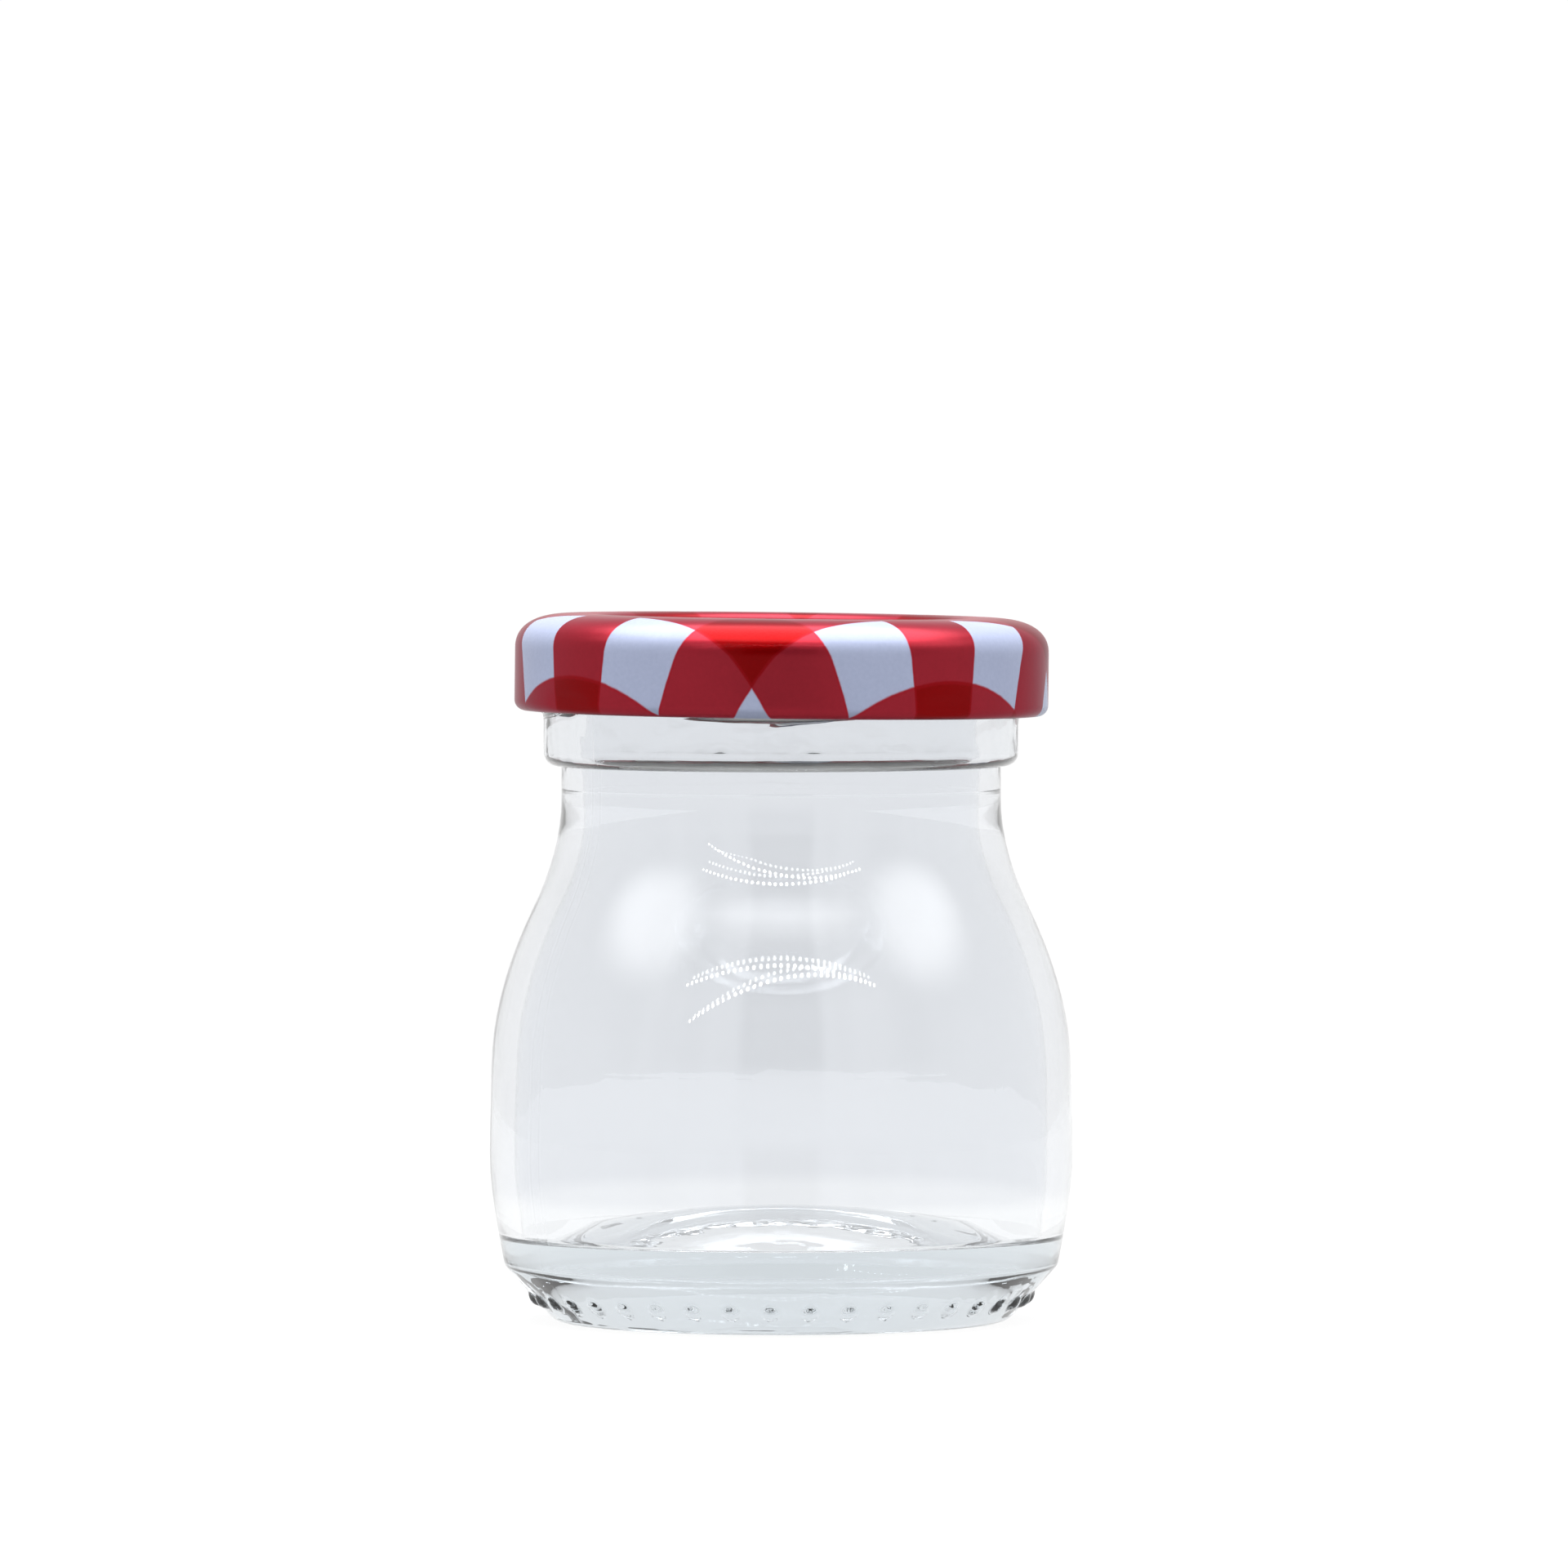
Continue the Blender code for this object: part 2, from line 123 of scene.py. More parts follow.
class GlassSettings(bpy.types.PropertyGroup):
    """Sizes and colour of the glass."""

    rim_z: length("Rim height", "Top of the glass above the table", GLASS_TOP.z)
    finish_radius: length("Finish radius", "Outer radius of the threaded wall", 22.3 * MM)
    collar_radius: length("Collar radius", "Outer radius of the band under the lid", 22.7 * MM)
    collar_top_z: length("Collar top", "Height where the band begins", 58.9 * MM)
    collar_bottom_z: length("Collar bottom", "Height where the band ends", 54.6 * MM)
    neck_radius: length("Neck radius", "Outer radius of the neck", 21.0 * MM)
    neck_top_z: length("Neck top", "Height where the band meets the neck", 53.0 * MM)
    neck_bottom_z: length("Neck bottom", "Height where the shoulder begins", 50.0 * MM)
    shoulder_radius: length("Shoulder radius", "Outer radius halfway down the shoulder", 23.75 * MM)
    shoulder_z: length("Shoulder height", "Height of the middle of the shoulder", 39.4 * MM)
    belly_top_radius: length("Belly top radius", "Outer radius where the belly begins", 27.7 * MM)
    belly_top_z: length("Belly top height", "Height where the belly begins", 24.5 * MM)
    belly_radius: length("Belly radius", "Widest outer radius", GLASS_TOP.x)
    belly_z: length("Belly height", "Height of the widest place", 16.0 * MM)
    heel_radius: length("Heel radius", "Outer radius at the crease above the foot", 26.5 * MM)
    heel_z: length("Heel height", "Height of the crease above the foot", 5.4 * MM)
    heel_round: length("Heel rounding", "Height over which the crease is rounded", 0.3 * MM)
    foot_radius: length("Foot radius", "Outer radius at the lower end of the chamfer", 22.1 * MM)
    foot_z: length("Foot height", "Height of the lower end of the chamfer", 0.5 * MM)
    contact_outer: length("Contact outer radius", "Outside of the ring it stands on", 20.8 * MM)
    contact_inner: length("Contact inner radius", "Inside of the ring it stands on", 19.4 * MM)
    push_up_radius: length("Push-up radius", "Radius of the raised middle below", 17.4 * MM)
    push_up_edge_z: length("Push-up edge", "Height of the raised middle's edge", 1.8 * MM)
    push_up_centre_z: length("Push-up centre", "Height of the raised middle", 5.0 * MM)
    wall: length("Wall", "Thickness of the wall", 2.4 * MM)
    bore_radius: length("Bore radius", "Inner radius of the neck", 18.9 * MM)
    rim_rounding: length("Rim rounding", "Rounding of the rim's two edges", 1.1 * MM)
    inner_heel_z: length("Inner heel height", "Height where the wall turns into the floor", 8.8 * MM)
    floor_radius: length("Floor radius", "Radius of the domed floor", 24.1 * MM)
    floor_corner_z: length("Floor corner", "Height of the corner round the floor", 8.0 * MM)
    floor_edge_z: length("Floor edge", "Height of the floor's edge", 8.25 * MM)
    floor_centre_z: length("Floor centre", "Height of the floor's middle", 11.0 * MM)
    columns: count("Columns", "Faces round the glass", 560)
    clear: shade("Clearness", "Colour that one wall passes", (0.862, 0.874, 0.895))
    # Painted light: the foot's glass gets a clearer colour than the walls, so the foot renders lighter
    # as if lit through the base
    painted_light_foot: shade("Foot painted light", "Clearer colour painted on the foot as painted light", (0.955, 0.962, 0.970))
    painted_light_foot_z: length("Foot painted light height", "Height where the foot's painted light ends", 12.0 * MM)
    tint: shade("Tint", "Colour that thick glass passes", (0.66, 0.72, 0.755))
    density: number("Tint density", "How fast the glass takes its tint, per metre", 22.0)


class ReliefSettings(bpy.types.PropertyGroup):
    """Raised details on the glass."""

    dot_count: count("Dots", "Stippled dots round the foot", 40)
    dot_phase: angle("Dot phase", "Angle of one dot from the front", -2.5)
    dot_z: length("Dot height", "Height of the row of dots", 2.2 * MM)
    dot_length: length("Dot length", "Length of a dot along the row", 1.9 * MM)
    dot_width: length("Dot width", "Width of a dot across the row", 1.5 * MM)
    dot_relief: length("Dot relief", "How far a dot stands out", 0.46 * MM)
    lead_count: count("Thread leads", "Thread leads round the finish", 4)
    lead_phase: angle("Lead phase", "Angle of the low end of one lead", -37.3)
    lead_span: angle("Lead span", "Angle that one lead covers", 80.0)
    lead_low_z: length("Lead low end", "Height of a lead's low end", 56.2 * MM)
    lead_high_z: length("Lead high end", "Height of a lead's high end", 61.1 * MM)
    lead_width: length("Lead width", "Height of a lead's cross-section", 3.0 * MM)
    lead_relief: length("Lead relief", "How far a lead stands out", 0.85 * MM)
    lead_fade_z: length("Lead fade height", "Height below which the leads run out", 58.3 * MM)
    lead_faded: number("Lead run-out", "Share of the relief below that height", 0.09)
    seam_turn: angle("Seam angle", "Angle of one mould seam from the front", -58.5)
    seam_z: length("Neck seam height", "Height of the mould seam round the neck", 50.7 * MM)


class LidSettings(bpy.types.PropertyGroup):
    """Sizes of the steel lid and its sealing ring."""

    bottom_z: length("Lower edge", "Height of the lid's lower edge", 58.098 * MM)
    height: length("Height", "Height of the lid", 9.3 * MM)
    radius: length("Radius", "Outer radius of the skirt", 25.5 * MM)
    sheet: length("Sheet", "Thickness of the steel", 0.3 * MM)
    tilt: angle("Tilt", "How far the lid sits askew", 0.7)
    shoulder_width: length("Shoulder width", "Width of the rounded shoulder", 5.5 * MM)
    shoulder_drop: length("Shoulder drop", "Height of the rounded shoulder", 3.4 * MM)
    shoulder_power: number("Shoulder squareness", "2 is an ellipse, and more is squarer", 2.4)
    panel_radius: length("Panel radius", "Radius of the recessed panel", 16.6 * MM)
    panel_drop: length("Panel drop", "Depth of the recessed panel", 0.7 * MM)
    panel_step: length("Panel step", "Width of the slope round the panel", 1.0 * MM)
    curl_radius: length("Curl radius", "Rounding of the rolled lower edge", 1.0 * MM)
    curl_inner: length("Curl inner radius", "Inner radius of the rolled edge", 24.2 * MM)
    curl_neck: length("Curl neck", "Height of the curl's inner side", 1.1 * MM)
    curl_height: length("Curl height", "Height of the rolled edge", 1.7 * MM)
    columns: count("Columns", "Faces round the lid", 320)
    lug_count: count("Lugs", "Lugs under the lid", 4)
    lug_phase: angle("Lug phase", "Angle of one lug from the front", 37.5)
    lug_length: length("Lug length", "Length of a lug along the curl", 7.0 * MM)
    lug_reach: length("Lug reach", "Inner radius of the lugs", 23.1 * MM)
    lug_root: length("Lug root", "Outer radius of the lugs", 24.6 * MM)
    lug_height: length("Lug height", "Height of a lug", 0.7 * MM)
    lug_z: length("Lug place", "Height of a lug's middle", 0.5 * MM)
    dent_z: length("Dent place", "Height of the dents outside the lugs", 1.1 * MM)
    dent_width: length("Dent width", "Height of a dent", 2.4 * MM)
    dent_depth: length("Dent depth", "Depth of a dent", 0.16 * MM)
    seal_inner: length("Seal inner radius", "Inner radius of the sealing ring", 19.3 * MM)
    seal_outer: length("Seal outer radius", "Outer radius of the sealing ring", 22.6 * MM)
    seal_bottom: length("Seal lower side", "Height of the ring's lower side", 7.9 * MM)
    seal_top: length("Seal upper side", "Height of the ring's upper side", 8.7 * MM)
    seal_shoulder: length("Seal shoulder", "Slope on the ring's upper outer edge", 0.9 * MM)
    seal_rounding: length("Seal rounding", "Rounding of the ring's edges", 0.3 * MM)


class PrintSettings(bpy.types.PropertyGroup):
    """The gingham print on the lid."""

    draw: number("Draw", "Length of print for each length of skirt", 0.76)
    spread: number("Spread", "Length of print for each length of shoulder", 1.053)
    turn: angle("Turn", "Turn of the pattern about the lid's axis", 38.7)
    pitch: length("Pitch", "Distance between stripes", 16.3 * MM)
    stripe: length("Stripe", "Width of a stripe", 8.1 * MM)
    offset: length("Offset", "How far a stripe is off the centre", 0.85 * MM)
    white: shade("White", "Colour of the bare enamel", (0.23, 0.257, 0.352))
    single: shade("Single stripe", "Colour of one layer of ink", (0.222, 0.012, 0.021))
    double: shade("Crossing", "Colour of two layers of ink", (0.165, 0.0003, 0.0008))


class StudioSettings(bpy.types.PropertyGroup):
    """The camera, the floor and the light."""

    distance: length("Camera distance", "From the jar's axis to the camera", 1.27)
    camera_z: length("Camera height", "Height of the camera", 89.0 * MM)
    target_x: length("Target across", "Where the camera points, across", 0.27 * MM)
    target_z: length("Target height", "Where the camera points, up", 51.3 * MM)
    view_width: length("View width", "Width of the picture at the jar", 149.8 * MM)
    floor_radius: length("Floor radius", "Radius of the floor", 0.45)
    horizon: number("Horizon light", "Strength of the light near the horizon", 1.02)
    front: number("Front light", "Strength of the light from behind the camera", 0.75)
    upper: number("Upper light", "Strength of the light above the horizon", 0.95)
    overhead: number("Overhead light", "Strength of the light from straight above", 7.5)
    lamps: number("Lamps", "Strength of the rows of small lamps", 42.0)
    lamp_pitch: angle("Lamp pitch", "Angle from one small lamp to the next", 2.6)
    lamp_size: angle("Lamp size", "Angle that a small lamp fills", 0.6)
    lamp_row: angle("Lamp row", "Angle from the middle of a row to its end", 44.0)
    lamp_rise: angle("Lamp rise", "Angle of the upper row above the table", 37.4)
    lamp_gap: angle("Lamp gap", "Angle between the middles of the two rows", 3.6)
    dark_width: angle("Dark width", "Half the width of the dark place behind the camera", 17.0)
    softbox: number("Softboxes", "Strength of the two softboxes", 2.0)
    softbox_width: angle("Softbox width", "Half the width of a softbox", 31.0)
    softbox_height: angle("Softbox height", "Half the height of a softbox", 15.0)
    left_turn: angle("Left softbox turn", "Angle of the left softbox from the front", -77.0)
    left_rise: angle("Left softbox rise", "Angle of the left softbox above the table", 41.0)
    right_turn: angle("Right softbox turn", "Angle of the right softbox from the front", 80.0)
    right_rise: angle("Right softbox rise", "Angle of the right softbox above the table", 39.0)


SETTINGS = {
    "jar_glass": GlassSettings,
    "jar_relief": ReliefSettings,
    "jar_lid": LidSettings,
    "jar_print": PrintSettings,
    "jar_studio": StudioSettings,
}


# Node graphs


class Wire:
    """A node socket that takes part in sums."""

    def __init__(self, graph, socket):
        self.graph = graph
        self.socket = socket

    def math(self, operation, *others):
        return self.graph.add("ShaderNodeMath", dict(enumerate((self, *others))), operation=operation)

    def math_from(self, operation, first):
        return self.graph.add("ShaderNodeMath", {0: first, 1: self}, operation=operation)

    def __add__(self, other):
        return self.math("ADD", other)

    __radd__ = __add__

    def __sub__(self, other):
        return self.math("SUBTRACT", other)

    def __rsub__(self, other):
        return self.math_from("SUBTRACT", other)

    def __mul__(self, other):
        return self.math("MULTIPLY", other)

    __rmul__ = __mul__

    def __truediv__(self, other):
        return self.math("DIVIDE", other)

    def __rtruediv__(self, other):
        return self.math_from("DIVIDE", other)

    def __pow__(self, other):
        return self.math("POWER", other)

    def __abs__(self):
        return self.math("ABSOLUTE")

    def wrap(self, half):
        """The value brought between -half and half."""
        return self.math("WRAP", half, 0.0 - half)


class Graph:
    """A node tree and the one way that nodes are added to it."""

    def __init__(self, tree):
        self.tree = tree

    def add(self, kind, inputs=None, output=0, **settings):
        node = self.tree.nodes.new(kind)
        for name, value in settings.items():
            setattr(node, name, value)
        for key, value in (inputs or {}).items():
            if isinstance(value, Wire):
                self.tree.links.new(value.socket, node.inputs[key])
            else:
                node.inputs[key].default_value = value
        return Wire(self, node.outputs[output]) if len(node.outputs) else node

    def outputs(self, wire):
        """Every output of the node that the wire comes from."""
        return [Wire(self, socket) for socket in wire.socket.node.outputs]

    def split(self, vector):
        return self.outputs(self.add("ShaderNodeSeparateXYZ", {0: vector}))

    def vector(self, operation, first, second):
        slot = 3 if operation == "SCALE" else 1
        return self.add("ShaderNodeVectorMath", {0: first, slot: second}, operation=operation)

    def mix(self, factor, first, second, blend="MIX"):
        """A blend of two colours."""
        inputs = {0: factor, 6: first, 7: second}
        return self.add("ShaderNodeMix", inputs, output=2, data_type="RGBA", blend_type=blend)

    def noise(self, vector, scale, detail=2.0):
        return self.add("ShaderNodeTexNoise", {"Vector": vector, "Scale": scale, "Detail": detail})

    def smooth(self, value, low, high):
        """0 below low, 1 above high and a smooth step between."""
        inputs = {"Value": value, "From Min": low, "From Max": high}
        return self.add("ShaderNodeMapRange", inputs, interpolation_type="SMOOTHSTEP")

    def turn(self, x, y):
        """The angle from the front about the axis, growing towards +X."""
        return x.math("ARCTAN2", 0.0 - y)


def new_material(name):
    """An empty material and the graph of its nodes."""
    material = bpy.data.materials.new(name)
    material.use_nodes = True
    material.node_tree.nodes.clear()
    return material, Graph(material.node_tree)


def finish_material(graph, surface, volume=None):
    """Links the shaders to the material's output."""
    output = graph.tree.nodes.new("ShaderNodeOutputMaterial")
    graph.tree.links.new(surface.socket, output.inputs["Surface"])
    if volume:
        graph.tree.links.new(volume.socket, output.inputs["Volume"])


# Materials


def clear_glass(s, relief):
    """Clear flint glass, a little wavy, with mould seams, a faint cool tint where it is thick, and
    painted light: a clearer colour on the foot so that it renders lighter.
    """
    material, graph = new_material("clear_glass")
    place = graph.add("ShaderNodeTexCoord", output=3)
    x, y, z = graph.split(place)
    waves = graph.noise(place, 70.0)
    streaks = graph.noise(graph.vector("MULTIPLY", place, (1.0, 1.0, 0.25)), 190.0, 3.0)
    neck_seam = 1.0 - graph.smooth(abs(z - relief.seam_z), 0.05 * MM, 0.22 * MM)
    off_seam = abs((graph.turn(x, y) - relief.seam_turn).wrap(math.pi / 2))
    seam = 1.0 - graph.smooth(off_seam, 0.003, 0.010)
    uneven = graph.smooth(z, 51.5 * MM, 53.5 * MM) + 1.0 - graph.smooth(z, 4.5 * MM, 6.5 * MM)
    lumps = graph.noise(place, 330.0, 1.0) * uneven
    height = waves * 0.10 + streaks * 0.02 + lumps * 0.14 + neck_seam * 0.04 + seam * 0.012
    normal = graph.add("ShaderNodeBump", {"Strength": 0.35, "Distance": 1.0 * MM, "Height": height})
    # Painted light: below the foot height the glass takes the clearer foot colour, so the foot renders
    # lighter
    foot = 1.0 - graph.smooth(z, s.painted_light_foot_z - 1.0 * MM, s.painted_light_foot_z + 1.0 * MM)
    surface = graph.add(
        "ShaderNodeBsdfPrincipled",
        {
            "Base Color": graph.mix(foot, (*s.clear, 1.0), (*s.painted_light_foot, 1.0)),
            "Roughness": graph.noise(place, 260.0, 4.0) * 0.02,
            "IOR": GLASS_IOR,
            "Transmission Weight": 1.0,
            "Normal": normal,
        },
    )
    volume = graph.add("ShaderNodeVolumeAbsorption", {"Color": (*s.tint, 1.0), "Density": s.density})
    finish_material(graph, surface, volume)
    return material


def printed_steel(s):
    """Gingham printed on enamelled tinplate under a clear gloss varnish, white lacquer inside."""
    material, graph = new_material("printed_steel")
    attribute = {"attribute_type": "GEOMETRY", "attribute_name": "print_sheet"}
    across, back, outside = graph.split(graph.add("ShaderNodeAttribute", output=1, **attribute))
    place = graph.add("ShaderNodeTexCoord", output=3)
    grain = graph.noise(place, 2600.0, 3.0)
    cloud = graph.noise(place, 160.0, 3.0)
    bleed = (graph.noise(place, 900.0) - 0.5) * (0.10 * MM)
    cosine, sine = math.cos(s.turn), math.sin(s.turn)
    stripes = []
    rims = []
    for distance in (across * sine - back * cosine, across * -cosine - back * sine):
        off = abs((distance - s.offset).wrap(s.pitch / 2)) - s.stripe / 2 + bleed
        stripes.append(1.0 - graph.smooth(off, -0.09 * MM, 0.09 * MM))
        rims.append(1.0 - graph.smooth(abs(off + 0.1 * MM), 0.05 * MM, 0.22 * MM))
    ink = stripes[0].math("MAXIMUM", stripes[1])
    rim = rims[0].math("MAXIMUM", rims[1]) * 0.35
    white = graph.mix(cloud * 0.5, (*s.white, 1.0), (*(0.94 * c for c in s.white), 1.0))
    color = graph.mix(ink, white, (*s.single, 1.0))
    color = graph.mix(stripes[0] * stripes[1], color, (*s.double, 1.0))
    color = graph.mix(rim, color, INK_EDGE)
    color = graph.mix(1.0, color, grain * 0.16 + cloud * 0.16 + 0.84, "MULTIPLY")
    lacquer = graph.mix(cloud * 0.4, *LACQUER)
    color = graph.mix(outside, lacquer, color)
    height = graph.noise(place, 420.0) * 0.5 + grain * 0.06
    normal = graph.add("ShaderNodeBump", {"Strength": 0.10, "Distance": 0.3 * MM, "Height": height})
    surface = graph.add(
        "ShaderNodeBsdfPrincipled",
        {
            "Base Color": color,
            "Roughness": cloud * 0.08 + 0.26,
            "Metallic": outside * (ink * 0.62 + 0.12),
            "Specular IOR Level": 0.05,
            "Specular Tint": (0.6, 0.55, 0.6, 1.0),
            "Coat Weight": 0.07,
            "Coat Roughness": 0.06,
            "Coat IOR": VARNISH_IOR,
            "Normal": normal,
        },
    )
    finish_material(graph, surface)
    return material


def sealing_compound():
    """Soft off-white compound with a faint mottling."""
    material, graph = new_material("sealing_compound")
    place = graph.add("ShaderNodeTexCoord", output=3)
    cloud = graph.noise(place, 240.0, 4.0)
    pores = graph.noise(place, 2200.0)
    color = graph.mix(cloud, *COMPOUND)
    normal = graph.add("ShaderNodeBump", {"Strength": 0.3, "Distance": 0.1 * MM, "Height": pores})
    inputs = {"Base Color": color, "Roughness": cloud * 0.15 + 0.45, "Normal": normal}
    finish_material(graph, graph.add("ShaderNodeBsdfPrincipled", inputs))
    return material


def white_paper():
    """Matt white paper that glows a little, so that the jar casts hardly a shadow."""
    material, graph = new_material("white_paper")
    cloud = graph.noise(graph.add("ShaderNodeTexCoord", output=3), 3.0)
    inputs = {
        "Base Color": graph.mix(cloud, *PAPER),
        "Roughness": 1.0,
        "Specular IOR Level": 0.0,
        "Emission Color": (1.0, 1.0, 1.0, 1.0),
        "Emission Strength": 0.95,
    }
    finish_material(graph, graph.add("ShaderNodeBsdfPrincipled", inputs))
    return material


# Outlines, each point a (radius, height) pair


def arc(centre, radii, start, end, pieces):
    """Part of an ellipse between two angles in degrees."""
    points = []
    for index in range(pieces + 1):
        turn = math.radians(start + (end - start) * index / pieces)
        points.append((centre[0] + radii[0] * math.cos(turn), centre[1] + radii[1] * math.sin(turn)))
    return points


def squared_arc(centre, radii, power, pieces):
    """The quarter of a squared-off ellipse from its top to its side."""
    points = []
    for index in range(pieces + 1):
        turn = math.pi / 2 * index / pieces
        across = math.sin(turn) ** (2 / power)
        up = max(math.cos(turn), 0.0) ** (2 / power)
        points.append((centre[0] + radii[0] * across, centre[1] + radii[1] * up))
    return points


def soft_corner(start, corner, end, pieces):
    """A curve that heads for the corner and ends at the end point."""
    points = []
    for index in range(pieces + 1):
        t = index / pieces
        weights = ((1 - t) ** 2, 2 * t * (1 - t), t * t)
        spots = (start, corner, end)
        points.append(tuple(sum(w * spot[i] for w, spot in zip(weights, spots)) for i in (0, 1)))
    return points


def sweep_down(start, end, start_slope, end_slope, pieces):
    """A cubic going down, with the growth of radius for each unit of drop at its ends."""
    drop = start[1] - end[1]
    points = []
    for index in range(pieces + 1):
        t = index / pieces
        radius = (
            (2 * t**3 - 3 * t**2 + 1) * start[0]
            + (3 * t**2 - 2 * t**3) * end[0]
            + (t**3 - 2 * t**2 + t) * start_slope * drop
            + (t**3 - t**2) * end_slope * drop
        )
        points.append((radius, start[1] - t * drop))
    return points


def straight(start, end, pieces):
    """Evenly spaced points on a line."""
    points = []
    for index in range(pieces + 1):
        t = index / pieces
        points.append((start[0] + (end[0] - start[0]) * t, start[1] + (end[1] - start[1]) * t))
    return points


def dome(edge_radius, edge_z, centre_z, pieces):
    """A parabola from the axis out to its edge."""
    points = []
    for index in range(pieces + 1):
        t = index / pieces
        points.append((edge_radius * t, centre_z + (edge_z - centre_z) * t * t))
    return points


def without_repeats(points):
    """The points without those that lie on the one before."""
    kept = [points[0]]
    for point in points[1:]:
        if (Vector(point) - Vector(kept[-1])).length > SAME_PLACE:
            kept.append(point)
    return kept


def chamfer_point(s, z):
    """The point of the chamfer at a height."""
    share = (z - s.foot_z) / (s.heel_z - s.foot_z)
    return (s.foot_radius + share * (s.heel_radius - s.foot_radius), z)


def glass_body(s):
    """The outer side from the neck down to the crease at the heel."""
    shoulder = (s.shoulder_radius, s.shoulder_z)
    belly_top = (s.belly_top_radius, s.belly_top_z)
    belly = (s.belly_radius, s.belly_z)
    heel_top = (s.heel_radius - HEEL_SLOPE * s.heel_round, s.heel_z + s.heel_round)
    outline = sweep_down((s.neck_radius, s.neck_bottom_z), shoulder, 0.0, SHOULDER_SLOPE, 8)
    outline += sweep_down(shoulder, belly_top, SHOULDER_SLOPE, BELLY_TOP_SLOPE, 9)
    outline += sweep_down(belly_top, belly, BELLY_TOP_SLOPE, 0.0, 4)
    outline += sweep_down(belly, heel_top, 0.0, HEEL_SLOPE, 6)
    return outline


def glass_finish(s):
    """The outer side from the rim down to the neck."""
    rim_centre = (s.finish_radius - s.rim_rounding, s.rim_z - s.rim_rounding)
    outline = arc(rim_centre, (s.rim_rounding, s.rim_rounding), 90, 0, 5)
    collar_edge = (s.finish_radius, s.collar_top_z + s.collar_radius - s.finish_radius)
    outline += straight(outline[-1], collar_edge, 20)
    outline += straight((s.collar_radius, s.collar_top_z), (s.collar_radius, s.collar_bottom_z), 20)
    corner = (s.collar_radius, s.neck_top_z)
    outline += soft_corner(outline[-1], corner, (s.neck_radius, s.neck_top_z), 6)
    outline += straight(outline[-1], (s.neck_radius, s.neck_bottom_z), 6)
    return outline


def glass_base(s, relief):
    """The chamfer with its row of dots, the contact ring and the raised middle."""
    row_top = chamfer_point(s, relief.dot_z + relief.dot_width / 2)
    row_bottom = chamfer_point(s, relief.dot_z - relief.dot_width / 2)
    foot = (s.foot_radius, s.foot_z)
    outline = soft_corner(
        glass_body(s)[-1], (s.heel_radius, s.heel_z), chamfer_point(s, s.heel_z - s.heel_round), 3
    )
    outline += straight(outline[-1], row_top, 4)
    outline += straight(row_top, row_bottom, 10)
    outline += straight(row_bottom, foot, 3)
    corner = (s.foot_radius - s.foot_z, 0.0)
    outline += soft_corner(foot, corner, (s.contact_outer, 0.0), 5)
    bend = s.push_up_radius + PUSH_UP_BEND * (s.contact_inner - s.push_up_radius)
    push_up = (s.push_up_radius, s.push_up_edge_z)
    outline += soft_corner((s.contact_inner, 0.0), (bend, s.push_up_edge_z), push_up, 6)
    outline += reversed(dome(s.push_up_radius, s.push_up_edge_z, s.push_up_centre_z, 6))
    return outline


def glass_inside(s):
    """From the middle of the floor up the wall to the rim."""
    wall = [(max(r - s.wall, s.bore_radius), z) for r, z in glass_body(s) if z > s.inner_heel_z]
    wall.reverse()
    outline = dome(s.floor_radius, s.floor_edge_z, s.floor_centre_z, 8)
    outline += soft_corner(outline[-1], (wall[0][0], s.floor_corner_z), wall[0], 8)
    outline += wall
    rim_centre = (s.bore_radius + s.rim_rounding, s.rim_z - s.rim_rounding)
    outline += straight(wall[-1], (s.bore_radius, rim_centre[1]), 4)
    outline += arc(rim_centre, (s.rim_rounding, s.rim_rounding), 180, 90, 5)
    return outline


def lid_outside(s):
    """From the middle of the top over the shoulder and down to the curl."""
    panel_z = s.height - s.panel_drop
    foot = (s.panel_radius, panel_z)
    head = (s.panel_radius + s.panel_step, s.height)
    middle = ((foot[0] + head[0]) / 2, (foot[1] + head[1]) / 2)
    outline = straight((0.0, panel_z), (s.panel_radius - s.panel_step, panel_z), 8)
    outline += soft_corner(outline[-1], foot, middle, 5)
    outline += soft_corner(middle, head, (head[0] + s.panel_step, s.height), 5)
    centre = (s.radius - s.shoulder_width, s.height - s.shoulder_drop)
    outline += squared_arc(centre, (s.shoulder_width, s.shoulder_drop), s.shoulder_power, 26)
    outline += straight(outline[-1], (s.radius, s.curl_radius), 16)
    outline += arc((s.radius - s.curl_radius, s.curl_radius), (s.curl_radius,) * 2, 0, -90, 8)
    return outline


def lid_inside(s):
    """From the inner side of the curl up the skirt and in to the middle."""
    outline = [(s.curl_inner, s.radius - s.curl_radius - s.curl_inner)]
    outline += [(s.curl_inner, s.curl_neck), (s.radius - s.sheet, s.curl_height)]
    centre = (s.radius - s.shoulder_width, s.height - s.shoulder_drop)
    radii = (s.shoulder_width - s.sheet, s.shoulder_drop - s.sheet)
    outline += reversed(squared_arc(centre, radii, s.shoulder_power, 12))
    panel_z = s.height - s.panel_drop - s.sheet
    outline.append((s.panel_radius + s.panel_step + s.sheet, s.height - s.sheet))
    outline += [(s.panel_radius + s.sheet, panel_z), (0.0, panel_z)]
    return outline


def seal_section(s):
    """The section of the sealing ring, all the way round."""
    r = s.seal_rounding
    inner, outer, low, high = s.seal_inner, s.seal_outer, s.seal_bottom, s.seal_top
    outline = arc((inner + r, high - r), (r, r), 180, 90, 4)
    outline += [(outer - s.seal_shoulder, high), (outer, high - s.seal_shoulder * 0.4)]
    outline += arc((outer - r, low + r), (r, r), 0, -90, 4)
    outline += arc((inner + r, low + r), (r, r), -90, -180, 4)
    return outline


# Meshes


